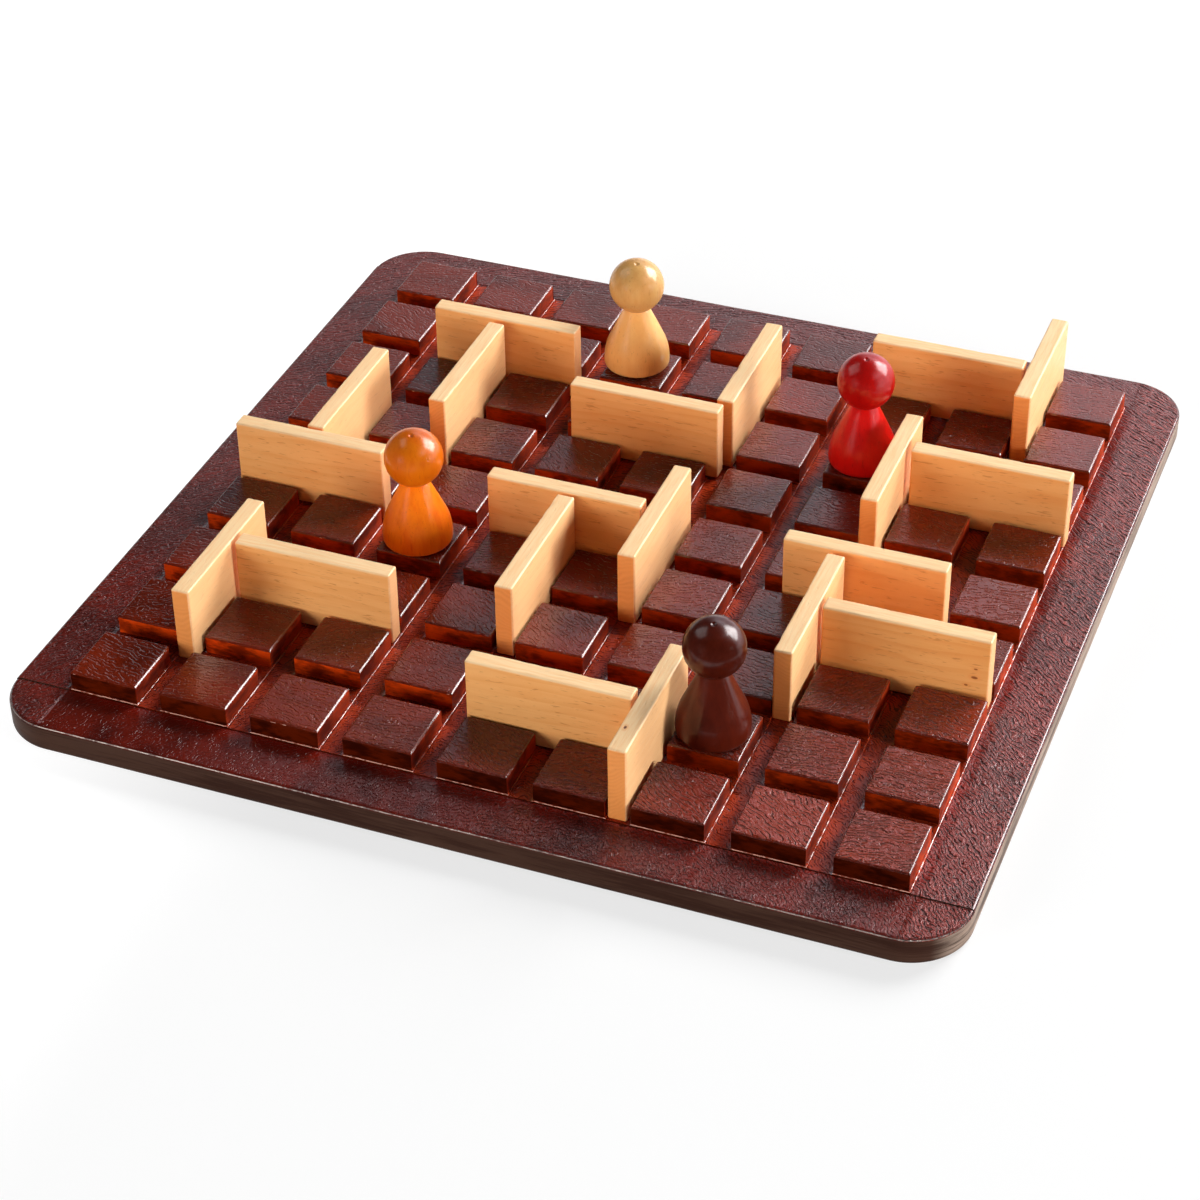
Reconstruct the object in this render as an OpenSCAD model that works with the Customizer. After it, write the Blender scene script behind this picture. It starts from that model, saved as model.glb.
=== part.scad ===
/* [Board] */
// Length of each side of the board
board_w = 265; // [262:0.5:275]
// Thickness left under the grooves that run across
plate_t = 9; // [7:0.1:12]
// Depth between one milling pass and the next
pass_step = 0.3; // [0.2:0.05:0.6]
// Radius along the top edge of the plate
rim_round = 1.2; // [0.6:0.1:2.5]
// Radius along the bottom edge of the plate
foot_round = 1.5; // [0.6:0.1:2.5]

/* [Squares] */
// Squares along each side
squares = 9; // [9:2:9]
// Distance from one square to the next
pitch = 26.5; // [26:0.1:27]
// Width of one raised square
square_w = 19.5; // [18:0.1:20]
// Height of the squares above the grooves that run across
square_h = 5.4; // [4.5:0.1:7]
// Radius along the top edges of a square
square_round = 0.45; // [0.2:0.05:1]
// Radius down the upright corners of a square
square_corner = 0.6; // [0.3:0.1:1.5]

/* [Walls] */
// Height of a wall
wall_h = 22.8; // [18:0.1:28]
// Thickness of a wall
wall_t = 5.2; // [4:0.1:5.6]
// Radius on the sanded edges of a wall
wall_round = 0.8; // [0.2:0.05:1.2]

/* [Pawns] */
// Height of a pawn
pawn_h = 35.8; // [32:0.1:42]
// Diameter of the turned head
head_d = 16.6; // [14:0.1:18]
// Largest diameter of the bell
bell_d = 19.9; // [17:0.1:21]
// Diameter where the bell meets the head
neck_d = 7.4; // [5:0.1:9]
// Height of the widest part of the bell
belly_z = 2.8; // [2:0.1:5]
// Radius of the curve from the belly up to the straight flank
belly_r = 16.8; // [14:0.1:30]
// Radius under the belly, down to the flat foot
sole_r = 1.8; // [1:0.1:2]
// Radius of the round mark that the turning leaves in the head
dimple_r = 0.9; // [0.4:0.1:1.5]
// Lean of that mark away from the very top, in degrees
dimple_lean = 9.5; // [0:0.5:15]

/* [Hidden] */
ROWS = [for (row = [1:squares]) str("squares_row_", row)];
WALLS = ["wall_01", "wall_02", "wall_03", "wall_04", "wall_05", "wall_06", "wall_07",
         "wall_08", "wall_09", "wall_10", "wall_11", "wall_12", "wall_13", "wall_14",
         "wall_15", "wall_16", "wall_17", "wall_18", "wall_19", "wall_20"];
PAWNS = ["pawn_orange", "pawn_dark", "pawn_natural", "pawn_red"];

mahogany = [0.36, 0.13, 0.09];
beech = [0.93, 0.76, 0.52];

middle = (squares + 1) / 2;             // number of the middle row and column
field_w = (squares - 1) * pitch + square_w;
border = (board_w - field_w) / 2;       // also the radius of the board's corners
wall_l = pitch + square_w;              // spans two squares and the groove between them
along_z = plate_t - pass_step;          // floor of the grooves that run front to back
end_z = along_z - pass_step;            // top of the strips in front of and behind the field
top_z = plate_t + square_h;
arc_fn = 48;
dimple_turn = 285;                      // direction of the mark's lean, round from the right

// Each wall stands over a crossing of two grooves. The crossing's numbers count the grooves
// from the left and from the front, and the slip is how far the wall has slid off its centre.
// [runs across, groove from left, groove from front, slip to the right, slip to the back]
placings = [
    [true,  2, 7,  1.6,  0.2],
    [false, 2, 6, -0.1, -0.6],
    [false, 1, 5, -0.6,  0.9],
    [true,  1, 4,  0.2,  0.5],
    [false, 1, 2, -0.2, -4.3],
    [true,  2, 2,  0.1,  0.2],
    [true,  4, 4, -1.0,  0.5],
    [false, 4, 3,  0.3,  0.5],
    [false, 5, 4, -0.6, -1.2],
    [true,  4, 6,  3.4,  0.0],
    [false, 5, 7, -0.6,  1.2],
    [true,  7, 8,  0.1,  0.4],
    [false, 8, 8,  0.1,  6.4],
    [false, 7, 6,  0.1, -6.3],
    [true,  8, 6,  0.8,  0.5],
    [true,  7, 4,  6.8,  0.1],
    [false, 7, 3, -0.6, -0.6],
    [true,  8, 3, -0.4,  0.6],
    [true,  5, 1, -0.2, -0.2],
    [false, 6, 1, -0.2,  0.2],
];

// [column, row, slip to the right, slip to the back, colour]
pawn_places = [
    [3, 4, -0.5, -1.2, [0.86, 0.42, 0.08]],
    [7, 2, -0.2, -0.8, [0.22, 0.07, 0.05]],
    [4, 8, -1.6,  1.2, [0.90, 0.70, 0.44]],
    [7, 7, -0.7, -0.3, [0.72, 0.07, 0.07]],
];

// Distance from the board's centre to the middle of a square or, with a half, of a groove
function place(number) = (number - middle) * pitch;

// Point where a straight line from outside touches a circle on its right-hand side
function touch(from, centre, r) =
    let (gap = from - centre,
         reach = norm(gap),
         turn = atan2(gap[1], gap[0]) - acos(r / reach))
    centre + r * [cos(turn), sin(turn)];

// Lays a flat profile's height upright and pushes it along X over the given length
module push_x(length) {
    rotate([90, 0, 90])
        linear_extrude(length, center = true)
            children();
}

// Lays a flat profile's height upright and pushes it along Y over the given length
module push_y(length) {
    rotate([90, 0, 0])
        linear_extrude(length, center = true)
            children();
}

// Section of the plate's rim, from its inner side at x = 0 out to the rounded edge
module rim_section(top) {
    difference() {
        square([border, top]);
        translate([border - rim_round, top - rim_round])
            square(rim_round);
        translate([border - foot_round, 0])
            square(foot_round);
    }
    intersection() {
        translate([border - rim_round, top - rim_round])
            circle(rim_round, $fn = arc_fn);
        square([border, top]);
    }
    intersection() {
        translate([border - foot_round, foot_round])
            circle(foot_round, $fn = arc_fn);
        square([border, top]);
    }
}

// Strip outside the field at one end, with the board's two round corners turned on it
module end_strip() {
    translate([0, field_w / 2, 0])
        push_x(field_w)
            rim_section(end_z);
    for (side = [-1, 1])
        translate([side * field_w / 2, field_w / 2, 0])
            rotate(side > 0 ? 0 : 90)
                rotate_extrude(angle = 90, $fn = 2 * arc_fn)
                    rim_section(end_z);
}

// Section across the field: side strips and long groove floors one pass lower than the rows
module field_section() {
    translate([-field_w / 2, 0])
        square([field_w, along_z]);
    for (column = [1:squares])
        translate([place(column) - square_w / 2, 0])
            square([square_w, plate_t]);
    for (side = [0, 1])
        mirror([side, 0])
            translate([field_w / 2, 0])
                rim_section(along_z);
}

module board_base() {
    color(mahogany) {
        push_y(field_w)
            field_section();
        end_strip();
        mirror([0, 1, 0])
            end_strip();
    }
}

// Section of one raised square, with its two top edges rounded
module square_section() {
    straight = square_w - 2 * square_round;
    translate([-square_w / 2, 0])
        square([square_w, square_h - square_round]);
    translate([-straight / 2, 0])
        square([straight, square_h]);
    for (side = [-1, 1])
        translate([side * straight / 2, square_h - square_round])
            circle(square_round, $fn = arc_fn);
}

// Rectangle with round corners, centred
module rounded_rectangle(w, h, r) {
    square([w, h - 2 * r], center = true);
    square([w - 2 * r, h], center = true);
    for (x = [-1, 1], y = [-1, 1])
        translate([x * (w / 2 - r), y * (h / 2 - r)])
            circle(r, $fn = arc_fn);
}

// One row of squares as the cutter leaves them, by passes front to back and passes across,
// with their upright corners eased by sanding
module squares_row(row) {
    color(mahogany)
        translate([0, place(row), plate_t])
            intersection() {
                push_x(field_w)
                    square_section();
                push_y(square_w)
                    for (column = [1:squares])
                        translate([place(column), 0])
                            square_section();
                linear_extrude(square_h)
                    for (column = [1:squares])
                        translate([place(column), 0])
                            rounded_rectangle(square_w, square_w, square_corner);
            }
}

// One wall lying along X, standing on z = 0, every edge softened as if sanded
module wall_blank() {
    translate([0, 0, wall_h / 2])
        intersection() {
            push_x(wall_l)
                rounded_rectangle(wall_t, wall_h, wall_round);
            push_y(wall_t)
                rounded_rectangle(wall_l, wall_h, wall_round);
            linear_extrude(wall_h, center = true)
                rounded_rectangle(wall_l, wall_t, wall_round);
        }
}

module wall(number) {
    placing = placings[number - 1];
    across = placing[0];
    floor_z = across ? plate_t : along_z;
    x = place(placing[1] + 0.5) + placing[3];
    y = place(placing[2] + 0.5) + placing[4];
    color(beech)
        translate([x, y, floor_z])
            rotate(across ? 0 : 90)
                wall_blank();
}

// Half section of a pawn: flat foot, round belly, straight flank up to the neck, ball head
module pawn_section() {
    head_r = head_d / 2;
    bell_r = bell_d / 2;
    head_z = pawn_h - head_r;
    neck = [neck_d / 2, head_z - sqrt(head_r ^ 2 - (neck_d / 2) ^ 2)];
    belly = [bell_r - belly_r, belly_z];
    flank = touch(neck, belly, belly_r);
    square([bell_r - sole_r, belly_z]);
    translate([0, sole_r])
        square([bell_r, belly_z - sole_r]);
    translate([bell_r - sole_r, sole_r])
        circle(sole_r, $fn = arc_fn);
    intersection() {
        translate(belly)
            circle(belly_r, $fn = 2 * arc_fn);
        translate([0, belly_z])
            square([bell_r, flank[1] - belly_z]);
    }
    polygon([[0, flank[1]], flank, neck, [0, neck[1]]]);
    intersection() {
        translate([0, head_z])
            circle(head_r, $fn = 2 * arc_fn);
        translate([0, neck[1]])
            square([head_r, pawn_h - neck[1]]);
    }
}

// Ball that cuts the shallow round mark into the head
module dimple_cutter() {
    translate([0, 0, pawn_h - head_d / 2])
        rotate([0, dimple_lean, dimple_turn])
            translate([0, 0, (head_d + dimple_r) / 2])
                sphere(dimple_r, $fn = arc_fn);
}

module pawn(number) {
    spot = pawn_places[number - 1];
    color(spot[4])
        translate([place(spot[0]) + spot[2], place(spot[1]) + spot[3], top_z])
            difference() {
                rotate_extrude($fn = 2 * arc_fn)
                    pawn_section();
                dimple_cutter();
            }
}

board_base();
for (row = [1:squares])
    squares_row(row);
for (number = [1:len(WALLS)])
    wall(number);
for (number = [1:len(PAWNS)])
    pawn(number);
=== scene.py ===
import random
import bmesh
import bpy
import numpy as np
from math import acos, atan2, cos, degrees, hypot, pi, radians, sin, sqrt, tan
from mathutils import Matrix, Vector, noise


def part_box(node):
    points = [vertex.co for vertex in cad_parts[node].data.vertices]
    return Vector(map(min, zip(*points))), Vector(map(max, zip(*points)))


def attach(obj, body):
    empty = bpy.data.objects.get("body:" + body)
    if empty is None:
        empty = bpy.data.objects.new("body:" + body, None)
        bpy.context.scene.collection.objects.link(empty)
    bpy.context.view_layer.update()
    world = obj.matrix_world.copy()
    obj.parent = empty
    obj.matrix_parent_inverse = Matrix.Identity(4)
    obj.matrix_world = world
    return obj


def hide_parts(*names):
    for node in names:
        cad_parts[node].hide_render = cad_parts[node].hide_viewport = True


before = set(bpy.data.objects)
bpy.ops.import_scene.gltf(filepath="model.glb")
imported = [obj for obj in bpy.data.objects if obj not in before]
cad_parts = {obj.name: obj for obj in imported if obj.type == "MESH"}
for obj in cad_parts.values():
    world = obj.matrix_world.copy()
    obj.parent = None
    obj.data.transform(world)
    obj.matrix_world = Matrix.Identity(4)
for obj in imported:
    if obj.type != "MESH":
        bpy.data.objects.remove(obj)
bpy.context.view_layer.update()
scene = bpy.context.scene
mm = 0.001

camera = {
    "azimuth": 21.44,  # degrees to the right of straight on
    "elevation": 36.51,
    "roll": 0.754,
    "distance": 0.81992,
    "target": (0.0023, -0.0304, 0.009),
    "lens": 88.94,
    "sensor": 36,
    "clip": (0.05, 20),
}

# Each softbox stands in a direction from the board, given by its turn from the right-hand side. The first
# three light the pieces, and the last two are only mirrored in them, as the highlights on the pawns' heads.
softboxes = {
    # turn, elevation, distance, size, watts, mirrored
    "keySoftbox": (65, 33, 3.0, 1.5, 125.0, False),
    "fillSoftbox": (240, 12, 2.0, 0.84, 20.5, False),
    "sideSoftbox": (351, 13, 1.8, 0.50, 24.0, False),
    "brightHighlight": (43, 34, 3.0, 2.0, 245.0, True),
    "faintHighlight": (186, 46, 3.0, 2.0, 24.0, True),
}

studio = {
    "white": (1, 1, 1, 1),
    "floorRadius": 3.0,
    "floorSides": 96,
    "floorSink": -0.02 * mm,
    "floorColour": (0.66, 0.66, 0.66, 1),  # as it lights the board from below
    "floorShade": (0.29, 0.29, 0.29, 1),  # as it is seen, with plain white added
    "floorGlow": (0.96, 0.69),  # that white at the left and at the right; the left is painted whiter, which washes out the board's shadow there
    "floorTurn": (-0.15, -0.04),  # where left turns to right
    "floorFar": (0.3, 0.9),  # from here on it turns to plain white
    "skyLight": (0.95, 0.03),  # level of the light from all round, low down and overhead
    "skyFade": (0.0, 0.42),
    "horizon": (1.0, 1.0, 1.0, 1),
    "horizonFade": (0.0, 0.16),
    "overhead": (0.035, 0.035, 0.04, 1),
    "glowTurn": 40.7,  # soft light behind the board, seen in the lacquer
    "glowSpread": (0.01, 0.95),
    "glowStart": (0.5, 0.62),
    "glowLow": 0.46,  # share of it below the start
    "glowFade": (0.58, 0.94),
    "glowRise": 6.06,
    "glowMost": 3.4,
    "glowTint": (1.0, 0.98, 1.07, 1),
    "cardTurns": (165, 346),  # dark card in front, seen only in reflections
    "cardReach": 0.205,
    "cardHeight": 44,
    "cardSteps": (40, 8),
    "cardFinish": {"Base Color": (0.02, 0.014, 0.012, 1), "Roughness": 0.9, "Specular IOR Level": 0.1},
}


# Small helpers for meshes and shader nodes

def addNode(tree, kind, inputs=None, **settings):
    node = tree.nodes.new("ShaderNode" + kind)
    for name, value in settings.items():
        setattr(node, name, value)
    for name, value in (inputs or {}).items():
        if isinstance(value, bpy.types.NodeSocket):
            tree.links.new(value, node.inputs[name])
        else:
            node.inputs[name].default_value = value
    return node.outputs


def joinNode(kind, inputs, **settings):
    # goes in the tree that its inputs come from
    tree = next(value.id_data for value in inputs.values() if isinstance(value, bpy.types.NodeSocket))
    return addNode(tree, kind, inputs, **settings)


def mathNode(operation, first, second=0.0, third=0.0, clamp=False):
    return joinNode("Math", {0: first, 1: second, 2: third}, operation=operation, use_clamp=clamp)[0]


def times(first, second, clamp=False):
    return mathNode("MULTIPLY", first, second, clamp=clamp)


def timesPlus(first, second, third, clamp=False):
    return mathNode("MULTIPLY_ADD", first, second, third, clamp)


def minus(first, second):
    return mathNode("SUBTRACT", first, second)


def larger(first, second):
    return mathNode("MAXIMUM", first, second)


def vectorNode(operation, inputs, output=0):
    return joinNode("VectorMath", inputs, operation=operation)[output]


def scaled(vector, factors):
    return vectorNode("MULTIPLY", {0: vector, 1: factors})


def dimmed(colour, share):
    return vectorNode("SCALE", {0: colour, "Scale": share})


def lengthOf(vector):
    return vectorNode("LENGTH", {0: vector}, "Value")


def partOf(vector, axis):
    return joinNode("SeparateXYZ", {0: vector})[axis]


def noiseField(vector, scales, detail=2.0, roughness=0.5, distortion=0.0, output=0):
    return joinNode("TexNoise", {"Vector": scaled(vector, scales), "Scale": 1.0, "Detail": detail,
                                 "Roughness": roughness, "Distortion": distortion})[output]


def remap(value, fromLow, fromHigh, toLow=0.0, toHigh=1.0, kind="SMOOTHSTEP"):
    return joinNode("MapRange", {"Value": value, "From Min": fromLow, "From Max": fromHigh,
                                 "To Min": toLow, "To Max": toHigh}, interpolation_type=kind)[0]


def fromNoise(value, low, high):
    # spreads the middle of a noise's range over two values
    return remap(value, 0.3, 0.7, low, high)


def blend(factor, first, second):
    return joinNode("Mix", {0: factor, 6: first, 7: second}, data_type="RGBA")[2]


def layered(colour, *layers):
    # lays each tint over the colour by its share
    for share, tint in layers:
        colour = blend(share, colour, tint)
    return colour


def attributes(tree, *names):
    return [addNode(tree, "Attribute", attribute_name=name)["Fac"] for name in names]


def placeOf(tree, name):
    return addNode(tree, "Attribute", attribute_name=name)["Vector"]


def newGroup(name, inputs, outputs):
    group = bpy.data.node_groups.new(name, "ShaderNodeTree")
    group.interface.new_socket("Vector", in_out="INPUT", socket_type="NodeSocketVector")
    for label, value in inputs.items():
        group.interface.new_socket(label, in_out="INPUT", socket_type="NodeSocketFloat").default_value = value
    for label in outputs:
        group.interface.new_socket(label, in_out="OUTPUT", socket_type="NodeSocketFloat")
    return group, group.nodes.new("NodeGroupInput").outputs


def linkResults(group, values):
    result = group.nodes.new("NodeGroupOutput")
    for label, value in values.items():
        group.links.new(value, result.inputs[label])
    return group


def placeGroup(group, inputs):
    return joinNode("Group", inputs, node_tree=group)


def newMaterial(name, finish):
    material = bpy.data.materials.new(name)
    material.use_nodes = True
    shader = material.node_tree.nodes["Principled BSDF"]
    for label, value in finish.items():
        shader.inputs[label].default_value = value
    return material, material.node_tree


def noiseAt(points, size, seed):
    offset = Vector((seed * 7.31, seed * 3.77, seed * 5.13))
    return np.array([noise.noise(Vector(p) + offset) for p in points / np.array(size, np.float32)])


def smoothstep(low, high, values):
    t = np.clip((values - low) / (high - low), 0, 1)
    return t * t * (3 - 2 * t)


def graded(ends, share):
    return ends[0] + (ends[1] - ends[0]) * share


def gridFaces(rows, columns, around=False):
    index = np.arange(rows * columns).reshape(rows, columns)
    if around:
        index = np.hstack([index, index[:, :1]])
    corners = index[:-1, :-1], index[:-1, 1:], index[1:, 1:], index[1:, :-1]
    return [tuple(face) for face in np.stack(corners, axis=-1).reshape(-1, 4).tolist()]


def arcPoints(centre, r, start, end, count):
    return [(centre[0] + r * cos(a), centre[1] + r * sin(a))
            for a in np.radians([start + (end - start) * k / count for k in range(count + 1)])]


def plainMesh(name, points, faces):
    mesh = bpy.data.meshes.new(name)
    mesh.from_pydata([tuple(p) for p in points], [], faces)
    return mesh


def finishMesh(name, points, faces, merge, sharpAngle=40):
    mesh = plainMesh(name, points, faces)
    work = bmesh.new()
    work.from_mesh(mesh)
    bmesh.ops.remove_doubles(work, verts=work.verts, dist=merge)
    bmesh.ops.dissolve_degenerate(work, edges=work.edges, dist=merge / 10)
    bmesh.ops.recalc_face_normals(work, faces=work.faces)
    work.to_mesh(mesh)
    work.free()
    mesh.shade_smooth()
    mesh.set_sharp_from_angle(angle=radians(sharpAngle))
    return mesh


def readVectors(mesh, kind="co"):
    values = np.empty(len(mesh.vertices) * 3, np.float32)
    mesh.vertices.foreach_get(kind, values)
    return values.reshape(-1, 3).astype(float)


def storeValues(mesh, **layers):
    # per-point values or vectors that the materials read under the same names
    for name, values in layers.items():
        values = np.asarray(values, np.float32)
        kind, field = ("FLOAT", "value") if values.ndim == 1 else ("FLOAT_VECTOR", "vector")
        mesh.attributes.new(name, kind, "POINT").data.foreach_set(field, values.ravel())


def newObject(name, data):
    made = bpy.data.objects.new(name, data)
    scene.collection.objects.link(made)
    return made


def emptyTree(owner):
    owner.use_nodes = True
    owner.node_tree.nodes.clear()
    return owner.node_tree


def addPiece(name, mesh, body, nodes):
    piece = newObject(name, mesh)
    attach(piece, body)
    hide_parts(*nodes)


# Camera, softboxes, sky and floor

def directionOf(turn, elevation):
    a, e = radians(turn), radians(elevation)
    return Vector((cos(a) * cos(e), sin(a) * cos(e), sin(e)))


def buildCamera():
    data = bpy.data.cameras.new("photoCamera")
    data.lens, data.sensor_width = camera["lens"], camera["sensor"]
    data.clip_start, data.clip_end = camera["clip"]
    back = directionOf(camera["azimuth"] - 90, camera["elevation"])
    right = Vector((0, 0, 1)).cross(back).normalized()
    up = back.cross(right)
    roll = radians(camera["roll"])
    turned = Matrix((right, up, back)).transposed() @ Matrix.Rotation(-roll, 3, "Z")
    eye = newObject("photoCamera", data)
    eye.matrix_world = Matrix.Translation(Vector(camera["target"]) + back * camera["distance"]) @ turned.to_4x4()
    scene.camera = eye


def buildSoftboxes():
    for name, (turn, elevation, distance, size, watts, mirrored) in softboxes.items():
        data = bpy.data.lights.new(name, "AREA")
        data.shape, data.size, data.energy = "SQUARE", size, watts
        lamp = newObject(name, data)
        away = directionOf(turn, elevation)
        lamp.location = away * distance
        lamp.rotation_euler = away.to_track_quat("Z", "Y").to_euler()
        lamp.visible_glossy, lamp.visible_diffuse = mirrored, not mirrored


def buildSky():
    scene.world = bpy.data.worlds.new("studioSky")
    tree = emptyTree(scene.world)
    path = addNode(tree, "LightPath")
    mirrored = larger(path["Is Glossy Ray"], path["Is Transmission Ray"])
    direction = addNode(tree, "TexCoord")["Generated"]
    height = partOf(direction, "Z")
    colour = blend(remap(height, *studio["horizonFade"]), studio["horizon"], studio["overhead"])
    level = vectorNode("NORMALIZE", {0: scaled(direction, (1, 1, 0))})
    toward = vectorNode("DOT_PRODUCT", {0: level, 1: directionOf(studio["glowTurn"], 0)}, "Value")
    glow = remap(toward, *studio["glowSpread"], 0.0, studio["glowRise"])
    glow = mathNode("MINIMUM", glow, studio["glowMost"])
    glow = times(glow, remap(height, *studio["glowStart"], studio["glowLow"], 1.0))
    glow = times(glow, remap(height, *studio["glowFade"], 1.0, 0.0))
    dome = remap(height, *studio["skyFade"], *studio["skyLight"])
    even, around, behind, white = (
        addNode(tree, "Background", {"Color": tint, "Strength": strength})[0]
        for tint, strength in ((studio["white"], dome), (colour, 1.0), (studio["glowTint"], glow),
                               (studio["white"], 1.0)))
    both = joinNode("AddShader", {0: around, 1: behind})[0]
    mixed = joinNode("MixShader", {0: mirrored, 1: even, 2: both})[0]
    shown = joinNode("MixShader", {0: path["Is Camera Ray"], 1: mixed, 2: white})[0]
    addNode(tree, "OutputWorld", {"Surface": shown})


def buildFloor():
    count = studio["floorSides"]
    rim = [(x, y, studio["floorSink"]) for x, y in arcPoints((0, 0), studio["floorRadius"], 0, 360, count)[:-1]]
    mesh = plainMesh("studioFloor", rim, [tuple(range(count))])
    floor = newObject("studioFloor", mesh)
    material = bpy.data.materials.new("studioPaper")
    tree = emptyTree(material)
    path = addNode(tree, "LightPath")
    seen = larger(path["Is Camera Ray"], path["Is Glossy Ray"])
    seen = larger(seen, path["Is Transmission Ray"])
    paper = addNode(tree, "BsdfDiffuse", {"Color": studio["floorColour"]})[0]
    place = addNode(tree, "NewGeometry")["Position"]
    # painted light: the floor is whiter toward the left, over the board's shadow
    level = remap(partOf(place, "X"), *studio["floorTurn"], *studio["floorGlow"])
    level = larger(level, remap(lengthOf(place), *studio["floorFar"]))
    glow = addNode(tree, "Emission", {"Color": studio["white"], "Strength": level})[0]
    shade = addNode(tree, "BsdfDiffuse", {"Color": studio["floorShade"]})[0]
    pale = joinNode("AddShader", {0: shade, 1: glow})[0]
    shown = joinNode("MixShader", {0: seen, 1: paper, 2: pale})[0]
    addNode(tree, "OutputMaterial", {"Surface": shown})
    mesh.materials.append(material)


def buildCard():
    # part of a dome in front of the board that shows only in reflections and takes no light away
    turns = np.linspace(*studio["cardTurns"], studio["cardSteps"][0])
    climbs = np.linspace(0, studio["cardHeight"], studio["cardSteps"][1])
    points = [directionOf(turn, climb) * studio["cardReach"] for climb in climbs for turn in turns]
    mesh = plainMesh("darkCard", points, gridFaces(len(climbs), len(turns)))
    card = newObject("darkCard", mesh)
    card.visible_camera = card.visible_diffuse = card.visible_shadow = False
    mesh.materials.append(newMaterial("darkPaper", studio["cardFinish"])[0])


scene.view_settings.view_transform = "Standard"
buildCamera()
buildSoftboxes()
buildSky()
buildFloor()
buildCard()
print("studio ready")


# Shader groups shared by the woods. Vectors are in metres with X along the grain.

figure = {
    "drift": (14, 70, 70),  # sizes of the noise, in waves a metre along and across the grain
    "fibre": (90, 1500, 1500),
    "streak": (260, 2000, 2000),
    "cloud": (35, 160, 160),
    "early": (0.05, 0.92),  # pale and dark part of each year's ring
    "late": (0.92, 1.0),
    "ringFall": 2.2,
    "fleckEdge": (0.63, 0.72),
    "endRings": 17.0,  # fine rings on end grain to each ring on the face
}


def buildFigureGroup():
    group, given = newGroup("woodFigure", {"Ring Width": 0.003, "Wander": 0.6},
                            ["Rings", "Fibre", "Flecks", "Cloud", "Arcs"])
    place = given["Vector"]
    drift = noiseField(place, figure["drift"])
    turns = mathNode("DIVIDE", lengthOf(scaled(place, (0, 1, 1))), given["Ring Width"])
    shift = times(drift, times(given["Wander"], 6.0))
    phase = mathNode("FRACT", mathNode("ADD", turns, shift))
    early = remap(phase, *figure["early"])
    rings = mathNode("POWER", early, figure["ringFall"])
    rings = times(rings, remap(phase, *figure["late"], 1.0, 0.0))
    fibre = noiseField(place, figure["fibre"], detail=3, roughness=0.6)
    streak = noiseField(place, figure["streak"], detail=1, distortion=0.6)
    cloud = noiseField(place, figure["cloud"], detail=3)
    fine = timesPlus(turns, figure["endRings"], times(drift, 60.0))
    return linkResults(group, {"Rings": rings, "Fibre": fibre, "Flecks": remap(streak, *figure["fleckEdge"]),
                               "Cloud": cloud, "Arcs": timesPlus(mathNode("SINE", fine), 0.5, 0.5)})


brushing = {
    "swirl": (230, 270, 270),
    "broken": (620, 900, 900),
    "fine": (600, 2600, 2600),
    "blotch": (45, 70, 70),
    "nibs": (1500, 1500, 1500),
    "nibEdge": (0.69, 0.76),
    "gaps": (0.42, 0.56),  # where a groove breaks off
    "poreEdge": (0.5, 0.72),
    "poreShare": 0.4,
    "fineHeight": 0.6,
    "nibHeight": 0.6,
}


def buildBrushedGroup():
    # flat strands with winding, broken grooves between them, as on brushed wood under thin lacquer
    group, given = newGroup("brushedFibre", {"Width": 0.00105, "Wander": 0.004}, ["Height", "Pores", "Blotch"])
    place = given["Vector"]
    swirl = noiseField(place, brushing["swirl"], detail=3, output="Color")
    swirl = vectorNode("SUBTRACT", {0: swirl, 1: (0.5, 0.5, 0.5)})
    bent = vectorNode("ADD", {0: place, 1: dimmed(swirl, given["Wander"])})
    turns = mathNode("DIVIDE", times(partOf(bent, "Y"), 2 * pi), given["Width"])
    groove = remap(mathNode("SINE", turns), -1.0, -0.1, 1.0, 0.0)
    broken = noiseField(bent, brushing["broken"], detail=1, distortion=0.5)
    groove = times(groove, remap(broken, *brushing["gaps"], 0.05, 1.0))
    fine = noiseField(bent, brushing["fine"], roughness=0.6)
    pores = timesPlus(remap(fine, *brushing["poreEdge"]), brushing["poreShare"], groove, clamp=True)
    nibs = remap(noiseField(place, brushing["nibs"], detail=0), *brushing["nibEdge"])
    height = timesPlus(fine, brushing["fineHeight"], minus(1.0, groove))
    height = timesPlus(nibs, brushing["nibHeight"], height)
    return linkResults(group, {"Height": height, "Pores": pores,
                               "Blotch": noiseField(place, brushing["blotch"], detail=3)})


figureGroup = buildFigureGroup()
brushedGroup = buildBrushedGroup()


# Board: one plate with the squares left standing between crossing cuts

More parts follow.
